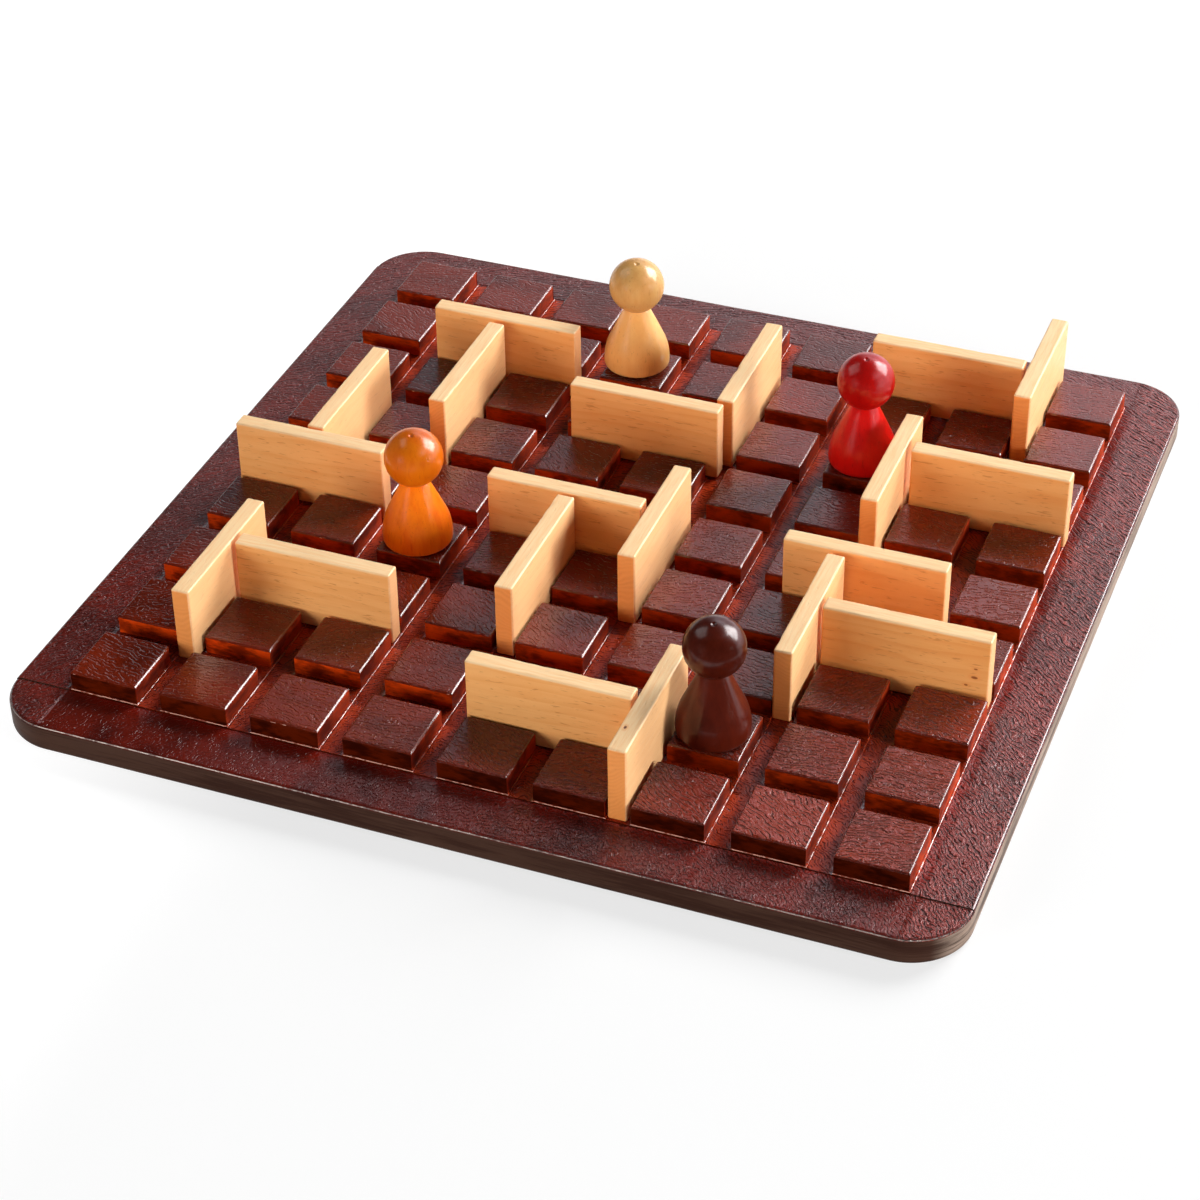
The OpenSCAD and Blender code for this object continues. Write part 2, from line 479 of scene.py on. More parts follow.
board = {
    "passStep": 0.3 * mm,  # each depth of cut below the one before
    "rimRound": 1.0 * mm,
    "footRound": 1.5 * mm,
    "footInset": 1.0 * mm,
    "edgeRound": 0.43 * mm,  # top edges of the squares
    "ledge": 0.5 * mm,  # left standing at the foot by the wider last pass
    "ledgeRound": 0.28 * mm,
    "backCorner": 0.8 * mm,
    "frontCorner": 0.25 * mm,
    "lineStepX": 0.75 * mm,
    "lineStepY": 1.0 * mm,
    "grooveStep": 0.9 * mm,
    "borderStep": 1.0 * mm,
    "hold": 0.15 * mm,  # keeps flats flat right up to a rounding
    "tilt": 0.0025,
    "sink": 0.05 * mm,
    "fineWave": (0.02 * mm, (5 * mm, 1.6 * mm, 1)),  # height, and size along and across
    "wideWave": (0.05 * mm, (30 * mm, 22 * mm, 1)),
    "sideWave": (0.06 * mm, (14 * mm, 14 * mm, 5 * mm)),
    "calmEdge": (0.5, 3.0),  # mm from a square's edge where the fine wave fades in
    "tearDepth": 0.5 * mm,
    "tearWidth": 0.9 * mm,
    "tearLength": 1.5 * mm,
    "nickWidth": 0.6 * mm,
    "nickLength": 1.2 * mm,
    "brushSlant": 40,  # degrees, at most
    "brushSize": 0.82,
    "brushCentre": (20 * mm, -230 * mm),  # the border was brushed in wide arcs round this point
    "brushArc": (0.2, 0.76),
    "poolWidth": 7.0,  # mm of the redder band beside the field
    "poolFront": 0.75,
    "footGlow": 1.9 * mm,
    "relief": (0.24, 1.25),
    "reliefGrows": (50, 145),  # mm toward the front right
    "frontRelief": 0.6,
    "borderRelief": 0.75,
    "rightRelief": 1.9,
    "firstRowTone": (0.17, 0.11),  # painted light and shade on the squares' front cuts, from left to right
    "secondRowTone": (1.45, 0.7),
    "otherRowTone": (0.84, 0.58),
    "seed": 11,
    # looks of the stain and the lacquer
    "square": (0.18, 0.015, 0.0024, 1),
    "squareDeep": (0.085, 0.0075, 0.0016, 1),
    "border": (0.125, 0.008, 0.003, 1),
    "borderDeep": (0.042, 0.003, 0.0016, 1),
    "pool": (0.17, 0.0065, 0.002, 1),
    "crest": (0.34, 0.07, 0.06, 1),  # painted sheen on the raised strands
    "groove": (0.22, 0.014, 0.003, 1),
    "grooveDeep": (0.075, 0.0048, 0.0016, 1),
    # painted glow at the right-hand feet, beside the lit faces
    "grooveFoot": (0.52, 0.052, 0.011, 1),
    "alongCut": (0.48, 0.05, 0.011, 1),
    "alongCutDeep": (0.11, 0.0075, 0.0022, 1),
    "crossCut": (0.56, 0.045, 0.0026, 1),
    "crossCutDeep": (0.17, 0.0125, 0.0012, 1),
    "side": (0.034, 0.0118, 0.0068, 1),
    "sideLight": (0.062, 0.028, 0.018, 1),
    # painted sheen: the plate's right-hand side is painted paler, where it catches the light at a grazing angle
    "sideRight": (0.075, 0.045, 0.032, 1),
    "sideRightLight": (0.34, 0.245, 0.19, 1),
    "worn": (0.85, 0.72, 0.64, 1),  # painted highlight along edges that face the front
    "wornLedge": (0.95, 0.5, 0.38, 1),
    "topShine": {"Specular IOR Level": 0.34, "Coat Roughness": 0.11, "Coat IOR": 1.8},
    "grooveShine": {"Specular IOR Level": 0.16, "Coat Roughness": 0.08, "Coat IOR": 1.8},
    "cutShine": {"Specular IOR Level": 0.06},
    "sideShine": {"Specular IOR Level": 0.06, "Coat Roughness": 0.32, "Coat IOR": 1.6},
    "topRough": (0.13, 0.72),  # on the strands, and added in the pores
    "poolRough": 0.1,
    "grooveRough": (0.16, 0.25),
    "cutRough": (0.34, 0.46),
    "sideRough": (0.42, 0.6),
    "toneShare": 0.1,  # how far the squares differ from each other
    "stain": (0.3, 0.62),
    "poreShare": 0.95,
    "crestShare": 0.4,
    "crestStart": (1.22, 1.42),
    "redder": (0.92, 1.25),  # strength of the colour, from weak to strong relief
    "rimCoat": 0.7,
    "rimLine": (0.47, 0.64),  # upward lean of the edge where the painted highlight line runs
    "ledgeLine": (0.25, 0.93),
    "rimPatches": (420, 420, 420),
    "ledgePatches": (700, 700, 700),
    "cutFine": (420, 420, 1500),
    "cutWide": (150, 150, 260),
    "sideFine": (60, 60, 1400),
    "sideWide": (25, 25, 320),
    "topBump": (1.0, 0.42),  # strength, and depth in mm
    "grooveBump": (1.0, 0.12),
    "crossBump": (0.6, 0.08),
    "alongBump": (0.8, 0.1),
    "sideBump": (0.5, 0.12),
}

boardHalf, _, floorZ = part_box("board_base")[1]
rowNames = [f"squares_row_{row}" for row in range(1, 10)]
rowBoxes = [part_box(name) for name in rowNames]
rowLow, rowHigh = rowBoxes[0]
squareHalf = (rowHigh.y - rowLow.y) / 2
fieldHalf = rowHigh.x
squareHeight = rowHigh.z - floorZ
centres = [(low.y + high.y) / 2 for low, high in rowBoxes]  # the same along both sides
pitch = centres[1] - centres[0]


def spread(start, end, step):
    count = max(1, round(abs(end - start) / step))
    return [start + (end - start) * k / count for k in range(1, count)]


def squareProfile(lineStep):
    # half a square's section, from the foot to near the middle, as distance from the centre and height
    r, a, corner = board["edgeRound"], squareHalf, squareHalf - board["backCorner"]
    side = [(a, squareHeight * share) for share in (0, 0.3, 0.6)]
    flat = [(d, squareHeight) for d in [corner] + spread(corner, 0, lineStep)]
    return side + arcPoints((a - r, squareHeight - r), r, 0, 90, 4) + flat


def ledgeLines(start, direction, level):
    # narrow ledge at the foot of a square, then its soft edge down to the next level
    r, end = board["ledgeRound"], start + direction * board["ledge"]
    lines = [(end - direction * (r + 0.03 * mm), 0.0)]
    for a in np.radians((0, 30, 60, 90)):
        lines.append((end - direction * r * (1 - sin(a)), -r * (1 - cos(a))))
    return lines + [(end, level), (end + direction * board["hold"], level)]


def combLines(outerLevel, grooveLevel, ledgeAfter, ledgeFirst, lineStep):
    # every grid line across the board, as (place, height above the grooves that run across, rim drop)
    lines = []
    profile = squareProfile(lineStep)
    for number, centre in enumerate(centres):
        lines += [(centre - d, h) for d, h in profile] + [(centre, squareHeight)]
        lines += [(centre + d, h) for d, h in reversed(profile)]
        foot = centre + squareHalf
        last = number == len(centres) - 1
        if ledgeAfter or last:
            lines += ledgeLines(foot, 1, outerLevel if last else grooveLevel)
        if not last:
            start, end = lines[-1][0], foot + pitch - 2 * squareHalf
            lines += [(p, grooveLevel) for p in spread(start, end, board["grooveStep"]) + [end]]
    first = centres[0] - squareHalf
    before = ledgeLines(first, -1, outerLevel) if ledgeFirst else [(first, outerLevel)]
    r, step = board["rimRound"], board["borderStep"]
    edge = boardHalf - r
    outside = [(p, outerLevel, 0) for p in spread(before[-1][0], -edge, step) + [-edge + board["hold"]]]
    for a in np.radians((0, 15, 30, 45, 60, 75, 90)):
        outside.append((-edge - r * sin(a), outerLevel, r * (1 - cos(a))))
    low = outside[::-1] + [(p, h, 0) for p, h in reversed(before)]
    high = [(p, outerLevel, 0) for p in spread(lines[-1][0], edge, step)]
    high += [(-p, outerLevel, drop) for p, _, drop in outside[-8:]]
    return np.array(low + [(p, h, 0) for p, h in lines] + high)


def roundOff(x, y, half, r):
    # pulls the corner zone of a square region in to a quarter circle
    dx, dy = np.abs(x) - (half - r), np.abs(y) - (half - r)
    inside = (dx > 0) & (dy > 0) & (np.abs(x) <= half + 1e-9) & (np.abs(y) <= half + 1e-9)
    share = np.where(inside, np.maximum(dx, dy) / np.maximum(np.hypot(dx, dy), 1e-12), 1.0)
    newX = np.where(inside, np.sign(x) * (half - r + dx * share), x)
    newY = np.where(inside, np.sign(y) * (half - r + dy * share), y)
    return newX, newY


def squarePlaces(x, y):
    # the square that each point belongs to, and where it lies from that square's middle
    column, row = (np.clip(np.round((v - centres[0]) / pitch), 0, 8).astype(int) for v in (x, y))
    return column, row, x - centres[0] - column * pitch, y - centres[0] - row * pitch


def squareDraws(seed, count):
    chance = random.Random(seed)
    return np.array([[[chance.uniform(-1, 1) for _ in range(count)] for _ in range(9)] for _ in range(9)])


def buildBoardPoints():
    step = board["passStep"]
    xs = combLines(-step, -step, True, False, board["lineStepX"])
    ys = combLines(-2 * step, 0.0, False, True, board["lineStepY"])
    (x, y), (hx, hy), (dropX, dropY) = (np.meshgrid(xs[:, k], ys[:, k]) for k in range(3))
    z = floorZ + np.minimum(hx, hy) - np.maximum(dropX, dropY)
    # squares keep their places while their corners are rounded in plan
    places = squarePlaces(x, y)
    localX, localY = places[2:]
    onSquare = np.maximum(np.abs(localX), np.abs(localY)) <= squareHalf + 1e-9
    for corner, zone in ((board["backCorner"], localY > 0), (board["frontCorner"], localY <= 0)):
        newX, newY = roundOff(localX, localY, squareHalf, corner)
        chosen = onSquare & zone
        x, y = np.where(chosen, x + newX - localX, x), np.where(chosen, y + newY - localY, y)
    x, y = roundOff(x, y, boardHalf, boardHalf - fieldHalf)
    return np.stack([x, y, z], axis=-1), places


def roughenBoard(points, places):
    x, y, z = (points[..., k].ravel().copy() for k in range(3))
    column, row, lx, ly = (values.ravel() for values in places)
    zero = np.zeros(x.size)
    flat = np.stack([x, y, zero], axis=1)
    rise = np.clip((z - floorZ) / squareHeight, 0, 1)
    mine = squareDraws(board["seed"], 3)[row, column]
    z += rise * (board["tilt"] * (mine[:, 0] * lx + mine[:, 1] * ly) - board["sink"] * (1 + mine[:, 2]))
    # shallow waves along the grain, which the brushed and lacquered surface keeps
    inward = (squareHalf - np.maximum(np.abs(lx), np.abs(ly))) / mm
    (fineHeight, fineSize), (wideHeight, wideSize) = board["fineWave"], board["wideWave"]
    z += fineHeight * noiseAt(flat, fineSize, 1) * np.maximum(smoothstep(*board["calmEdge"], inward), rise < 0.1)
    z += wideHeight * noiseAt(flat, wideSize, 2)
    # torn fibres along the front top edge of each square
    edge = np.clip(1 - (ly + squareHalf) / board["tearWidth"], 0, 1) * smoothstep(0.75, 1.0, rise)
    rowPlace = np.stack([x, row * 0.05, zero], axis=1)
    tear = board["tearDepth"] * np.clip(noiseAt(rowPlace, (board["tearLength"], 0.01, 1), 3) - 0.12, 0, 0.6) * edge
    z -= tear
    y += 0.6 * tear
    # the right-hand edges are crisper, with a rare nick
    edge = np.clip(1 - (squareHalf - lx) / board["nickWidth"], 0, 1) * smoothstep(0.85, 1.0, rise)
    nicks = noiseAt(np.stack([x, y, zero], axis=1), (0.02, board["nickLength"], 1), 4)
    nick = board["tearDepth"] * np.clip(nicks - 0.52, 0, 1) * edge
    z -= 0.7 * nick
    x -= 0.4 * nick
    return np.stack([x, y, z], axis=1)


def buildBoardMesh():
    grid, places = buildBoardPoints()
    rows, columns = grid.shape[:2]
    points = roughenBoard(grid, places)
    faces = gridFaces(rows, columns)
    # the rim's outline goes round once and carries the side, the round foot and the underside
    index = np.arange(rows * columns).reshape(rows, columns)
    outline = np.concatenate([index[0], index[1:, -1], index[-1, -2::-1], index[-2:0:-1, 0]])
    apart = np.linalg.norm(points[outline] - points[np.roll(outline, 1)], axis=1) > 0.01 * mm
    outline = outline[apart].tolist()
    rim = points[outline]
    around = np.arange(len(outline))
    outward = np.stack([rim[(around + 1) % len(rim), 1] - rim[around - 1, 1],
                        rim[around - 1, 0] - rim[(around + 1) % len(rim), 0]], axis=1)
    outward /= np.linalg.norm(outward, axis=1)[:, None]
    r = board["footRound"]
    waveHeight, waveSize = board["sideWave"]
    sections = [(0, None, share) for share in (0.75, 0.5, 0.25, 0)]
    sections += [(r * (1 - cos(a)), r * (1 - sin(a)), 0) for a in np.radians((18, 36, 54, 72, 90))]
    sections.append((r + board["footInset"], 0.0, 0))
    rings = [outline]
    for inset, height, share in sections:
        ring = rim.copy()
        ring[:, 2] = r + (rim[:, 2] - r) * share if height is None else height
        wave = np.abs(waveHeight * noiseAt(ring, waveSize, 5)) if inset <= r else np.zeros(len(ring))
        ring[:, :2] -= outward * (inset + wave)[:, None]
        rings.append(list(range(len(points), len(points) + len(ring))))
        points = np.vstack([points, ring])
    for upper, lower in zip(rings, rings[1:]):
        faces += zip(upper, lower, lower[1:] + lower[:1], upper[1:] + upper[:1])
    faces.append(tuple(rings[-1][::-1]))
    return finishMesh("board", points, faces, 0.002 * mm)


def describeBoard(mesh):
    # values that the board's materials read
    points = readVectors(mesh)
    x, y, z = points.T
    column, row, lx, ly = squarePlaces(x, y)
    raised = z > floorZ + 0.3 * mm
    # a redder band beside the field, on the border to the right and in front
    right = (x - fieldHalf) / mm, np.abs(y), 1.0
    front = (-fieldHalf - y) / mm, np.abs(x), board["poolFront"]
    pools = [(1 - smoothstep(0.0, board["poolWidth"], d)) * (d > 0)
             * (1 - smoothstep(fieldHalf - 6 * mm, fieldHalf, a)) * share for d, a, share in (right, front)]
    # painted glow on the strip of groove at the right-hand foot of a square, beside its lit right-hand face, more
    # so toward the back
    foot = np.exp(-np.maximum(lx - squareHalf, 0) / board["footGlow"]) * (lx > 0) * (np.abs(ly) <= squareHalf)
    foot = foot * (0.25 + 0.75 * smoothstep(-0.6, 0.8, ly / squareHalf)) * ~raised
    # painted light and shade on the squares' front cuts: darker in the first row, brighter in the second, changing
    # from left to right
    toRight = smoothstep(-50, 60, x / mm)
    rowTones = [graded(board["firstRowTone"], smoothstep(-fieldHalf, fieldHalf, x)),
                graded(board["secondRowTone"], toRight)]
    crossTone = np.select([row == 0, row == 1], rowTones, graded(board["otherRowTone"], toRight))
    # the relief grows toward the front right, and has its own strength on each border
    relief = graded(board["relief"], smoothstep(*board["reliefGrows"], (0.6 * x - 0.8 * y) / mm))
    relief = np.where(y < -fieldHalf - 1 * mm, board["frontRelief"] * relief, relief)
    relief = np.maximum(relief, board["borderRelief"] * (np.maximum(np.abs(x), y) > fieldHalf + 1 * mm))
    relief = np.maximum(relief, board["rightRelief"] * smoothstep(fieldHalf, fieldHalf + 4 * mm, x))
    # each square was brushed on its own, at its own slant
    mine = squareDraws(board["seed"] + 1, 4)[row, column] * raised[:, None]
    slant = np.radians(board["brushSlant"]) * mine[:, 1]
    cosine, sine = np.cos(slant), np.sin(slant)
    turned = np.stack([lx * cosine - ly * sine, lx * sine + ly * cosine, z], axis=1)
    turned[:, :2] *= board["brushSize"]
    turned[:, 0] += 0.31 + 0.04 * column + 0.01 * mine[:, 2]
    turned[:, 1] += 0.62 + 0.04 * row + 0.01 * mine[:, 3]
    fromX, fromY = x - board["brushCentre"][0], y - board["brushCentre"][1]
    away = np.hypot(fromX, fromY) + 0.3 * np.hypot(fromX, 30 * mm)
    arcs = np.stack([np.arctan2(fromX, fromY) * board["brushArc"][0], away * board["brushArc"][1], z], axis=1)
    outward, _, upward = readVectors(mesh, "normal").T
    edge = smoothstep(0.25, 0.5, upward) * (1 - smoothstep(0.88, 0.97, upward))
    rim = smoothstep(0.6, 0.72, upward) * (1 - smoothstep(0.82, 0.92, upward))
    atRim = np.maximum(np.abs(x), np.abs(y)) > fieldHalf + 2 * mm
    # alongTone and crossTone carry painted light and shade for the squares' cut faces
    # rightSide marks the plate's right-hand side for its painted sheen
    storeValues(mesh, raised=raised, pool=np.maximum(*pools), foot=foot, alongTone=ly / squareHalf,
                crossTone=crossTone, relief=relief, squareTone=mine[:, 0], plainPlace=points,
                woodPlace=np.where(raised[:, None], turned, arcs), edge=np.where(atRim, rim, edge),
                rim=atRim, rightSide=smoothstep(0.55, 0.85, outward))
    inField = fieldHalf + board["ledge"] + 0.2 * mm
    for face in mesh.polygons:
        c, n = face.center, face.normal
        inside = max(abs(c.x), abs(c.y)) < inField and c.z > 5 * mm
        onTop = c.z > floorZ + squareHeight - board["edgeRound"] - 0.1 * mm
        if onTop or not inside and c.z > floorZ - 2 * mm and n.z > 0.25:
            face.material_index = 0
        elif inside and n.z < 0.3:
            face.material_index = 3 if abs(n.y) > abs(n.x) else 4
        else:
            face.material_index = 1 if inside else 2


def linkSurface(material, colour, roughness, height, strength, distance, coat=None):
    tree = material.node_tree
    bump = addNode(tree, "Bump", {"Strength": strength, "Distance": distance * mm, "Height": height})[0]
    links = {"Base Color": colour, "Roughness": roughness, "Normal": bump, "Coat Weight": coat}
    for label, value in links.items():
        if value is not None:
            tree.links.new(value, tree.nodes["Principled BSDF"].inputs[label])
    return material


def frontEdge(tree, low, high):
    # a line along edges that face the front, where the normal leans up between two amounts
    parts = addNode(tree, "SeparateXYZ", {0: addNode(tree, "NewGeometry")["Normal"]})
    line = times(remap(parts["Z"], low - 0.07, low + 0.03),
                 remap(parts["Z"], high - 0.03, high + 0.07, 1.0, 0.0))
    return times(line, remap(parts["Y"], -0.35, -0.15, 1.0, 0.0))


def boardTopMaterial():
    material, tree = newMaterial("boardTopLacquer", board["topShine"])
    brushed = placeGroup(brushedGroup, {"Vector": placeOf(tree, "woodPlace")})
    tone, pool, raised, edge, relief, rim = attributes(
        tree, "squareTone", "pool", "raised", "edge", "relief", "rim")
    full = blend(raised, board["border"], board["square"])
    deep = blend(raised, board["borderDeep"], board["squareDeep"])
    level = timesPlus(tone, board["toneShare"], brushed["Blotch"])
    gathered = timesPlus(brushed["Blotch"], 1.1, minus(pool, 0.75))
    dark = times(brushed["Pores"], times(relief, board["poreShare"]), clamp=True)
    # painted sheen on the raised strands, stronger with the relief
    crest = times(remap(brushed["Height"], *board["crestStart"]),
                  times(relief, board["crestShare"]))
    colour = layered(deep, (remap(level, *board["stain"]), full),
                     (remap(gathered, 0.1, 0.75), board["pool"]), (dark, deep), (crest, board["crest"]))
    colour = dimmed(colour, remap(relief, 0.3, 1.25, *board["redder"]))
    # painted highlight along the border's rim where it faces the front, broken into patches
    patchy = noiseField(placeOf(tree, "plainPlace"), board["rimPatches"], roughness=0.7)
    rubbed = times(frontEdge(tree, *board["rimLine"]), rim)
    rubbed = times(rubbed, remap(patchy, 0.38, 0.54, 0.3, 1.0))
    smooth = times(minus(1.0, edge), relief)
    rough = timesPlus(pool, board["poolRough"], timesPlus(dark, *reversed(board["topRough"])))
    return linkSurface(material, blend(rubbed, colour, board["worn"]), rough,
                       times(brushed["Height"], smooth), *board["topBump"],
                       coat=times(edge, board["rimCoat"]))


def boardGrooveMaterial():
    material, tree = newMaterial("boardGrooveLacquer", board["grooveShine"])
    brushed = placeGroup(brushedGroup, {"Vector": placeOf(tree, "woodPlace"), "Width": 0.0008})
    edge, foot = attributes(tree, "edge", "foot")
    # painted glow at the right-hand feet of the squares
    lit = timesPlus(brushed["Height"], 0.35, minus(foot, 0.2))
    # painted highlight along the ledges' front edges, broken into patches; the same patches vary the coat
    worn = noiseField(placeOf(tree, "plainPlace"), board["ledgePatches"], detail=1)
    rubbed = times(frontEdge(tree, *board["ledgeLine"]), remap(worn, 0.4, 0.5, 0.15, 0.9))
    colour = layered(board["grooveDeep"], (remap(brushed["Blotch"], 0.28, 0.68), board["groove"]),
                     (remap(lit, 0.05, 0.7), board["grooveFoot"]),
                     (times(brushed["Pores"], 0.7), board["grooveDeep"]), (rubbed, board["wornLedge"]))
    height = times(brushed["Height"], minus(1.0, edge))
    return linkSurface(material, colour, fromNoise(brushed["Blotch"], *board["grooveRough"]), height,
                       *board["grooveBump"], coat=times(edge, remap(worn, 0.42, 0.58, 0.1, 1.0)))


def boardCutMaterial(name, along, strength, bump):
    # fine saw marks over wider stain patches
    material, tree = newMaterial(name, board["cutShine"])
    place = placeOf(tree, "plainPlace")
    fine = noiseField(place, board["cutFine"], detail=3, roughness=0.6)
    level = timesPlus(noiseField(place, board["cutWide"]), 0.7, times(fine, 0.5))
    alongTone, crossTone = attributes(tree, "alongTone", "crossTone")
    if along:
        # painted light: brighter toward the back of each square and at its foot
        low = remap(partOf(place, "Z"), floorZ, floorZ + 0.7 * squareHeight, 0.1, 0.0)
        level = mathNode("ADD", timesPlus(alongTone, 0.13, level), low)
        colour = blend(remap(level, 0.44, 0.86), board["alongCutDeep"], board["alongCut"])
    else:
        # the front cuts take their painted light and shade
        colour = dimmed(blend(remap(level, 0.44, 0.74), board["crossCutDeep"], board["crossCut"]), crossTone)
    return linkSurface(material, colour, fromNoise(fine, *board["cutRough"]), fine, strength, bump)


def boardSideMaterial():
    material, tree = newMaterial("boardSideStain", board["sideShine"])
    place = placeOf(tree, "plainPlace")
    right = attributes(tree, "rightSide")[0]
    fine = noiseField(place, board["sideFine"], detail=4, roughness=0.65)
    wide = noiseField(place, board["sideWide"])
    level = remap(timesPlus(wide, 0.5, times(fine, 0.6)), 0.45, 0.64)
    colour = blend(level, board["side"], board["sideLight"])
    # painted sheen on the right-hand side, with a little coat there
    pale = blend(level, board["sideRight"], board["sideRightLight"])
    return linkSurface(material, blend(right, colour, pale),
                       fromNoise(fine, *board["sideRough"]), fine, *board["sideBump"],
                       coat=times(right, 0.06))


boardMesh = buildBoardMesh()
describeBoard(boardMesh)
for material in (boardTopMaterial(), boardGrooveMaterial(), boardSideMaterial(),
                 boardCutMaterial("boardCrossCut", False, *board["crossBump"]),
                 boardCutMaterial("boardAlongCut", True, *board["alongBump"])):
    boardMesh.materials.append(material)
addPiece("board", boardMesh, "board", ["board_base"] + rowNames)
print("board:", len(boardMesh.vertices), "points")


# Walls: strips of pale wood, each cut from its own place in the plank

walls = {
    "round": 0.55 * mm,
    "gridStep": 1.4 * mm,
    "hold": 0.12 * mm,  # keeps the flat face flat right up to the rounding
    "bow": 0.07 * mm,
    "uneven": (0.035 * mm, (9 * mm, 5 * mm, 5 * mm)),  # sanding and saw marks: depth and size
    "saw": (0.05 * mm, (3 * mm, 1.5 * mm, 1.5 * mm)),
    "dents": 4,
    "dentSize": (0.8, 1.8),  # mm
    "dentDepth": (0.03, 0.13),
    "heart": (18, 60),  # mm from the tree's middle to the strip
    "hearts": (0.15, 0.35, 0.5, 0.65, 1.2, 1.4),
    "slope": 0.05,
    "pale": (0.95, 0.465, 0.158, 1),
    "ring": (0.85, 0.335, 0.088, 1),
    "crown": (1.0, 0.73, 0.42, 1),  # painted light: the pale colour of the top and of edges and faces turned up or to the right
    "fleck": (0.62, 0.22, 0.052, 1),
    "endTone": (0.86, 0.3, 0.075, 1),
    "endDark": (0.76, 0.235, 0.052, 1),
    "knotTone": (0.1, 0.022, 0.01, 1),
    "knotPale": (0.4, 0.105, 0.028, 1),
    # middle of each knot from the wall's centre and foot, its half widths, and how dark it is
    "knots": {"wall_20": [(-13.8, 1.17, 22.6, 0.75, 0.45, 1.0, 1.0)],
              "wall_18": [(19.0, -2.5, 10.5, 1.05, 1.0, 0.5, 0.35), (19.2, -2.5, 13.3, 0.6, 1.0, 0.3, 0.2),
                          (16.9, -2.5, 7.6, 0.6, 1.0, 0.35, 0.2)]},
    "noKnot": (500, 0, 0, 1, 1, 1, 0),
    "tones": {"wall_12": 1.2, "wall_18": 2.6},  # painted shade: these two inner strips are set darker
    "shine": {"Specular IOR Level": 0.22},
    "rough": (0.36, 0.5),
    "ringShare": 0.36,
    "toneShare": 0.12,
    "fibreShare": 0.26,
    "fleckShare": 0.62,
    "endShare": 0.85,
    # shares of the painted light on lit edges, on the top and on the right-hand faces
    "edgeShare": 0.65,
    "crownShare": 0.92,
    "rightShare": 0.42,
    "bump": (0.5, 0.08),
    "seed": 5,
}


def softBox(size, r, step):
    # six grids over a box, pushed on to its rounded edges
    half = [s / 2 for s in size]
    lines = []
    for h in half:
        arc = [h - r + r * tan(radians(15 * k)) for k in range(4)]
        hold = h - r - walls["hold"]
        lines.append(np.array([-v for v in arc[::-1]] + [-hold] + spread(-hold, hold, step) + [hold] + arc))
    points, faces = [], []
    for axis in range(3):
        first, second = [k for k in range(3) if k != axis]
        a, b = np.meshgrid(lines[first], lines[second])
        for side in (-1, 1):
            face = np.zeros(a.shape + (3,))
            face[..., first], face[..., second], face[..., axis] = a, b, side * half[axis]
            base = len(points)
            points += list(face.reshape(-1, 3))
            faces += [tuple(base + k for k in f) for f in gridFaces(*a.shape)]
    points = np.array(points)
    inner = np.clip(points, [-(h - r) for h in half], [h - r for h in half])
    out = points - inner
    return inner + r * out / np.linalg.norm(out, axis=1)[:, None], faces


def wearWall(points, size, chance):
    # slight bow, uneven sanding and small dents, all inwards
    half = np.array(size) / 2
    seed = chance.uniform(0, 50)
    bow = chance.uniform(-1, 1) * walls["bow"] * np.cos(pi * points[:, 0] / size[0])
    near = points / half
    uneven, saw = (depth * (1 + noiseAt(points, grain, seed + k))
                   for k, (depth, grain) in enumerate((walls["uneven"], walls["saw"])))
    moved = points.copy()
    moved[:, 0] -= np.sign(points[:, 0]) * saw * (np.abs(near[:, 0]) > 0.97)
    moved[:, 1] += bow - np.sign(points[:, 1]) * uneven * 0.6 * (np.abs(near[:, 1]) > 0.7)
    moved[:, 2] -= np.where(near[:, 2] > 0.9, uneven, 0)
    for _ in range(walls["dents"]):
        spot = np.array([chance.uniform(-1, 1), chance.choice((-1, 1)), 1]) * half
        reach = chance.uniform(*walls["dentSize"]) * mm
        fall = np.exp(-np.sum(((points - spot) / reach) ** 2, axis=1))
        depth = chance.uniform(*walls["dentDepth"]) * mm
        moved -= fall[:, None] * np.array([0, spot[1] / half[1], 0.8]) * depth
    return moved


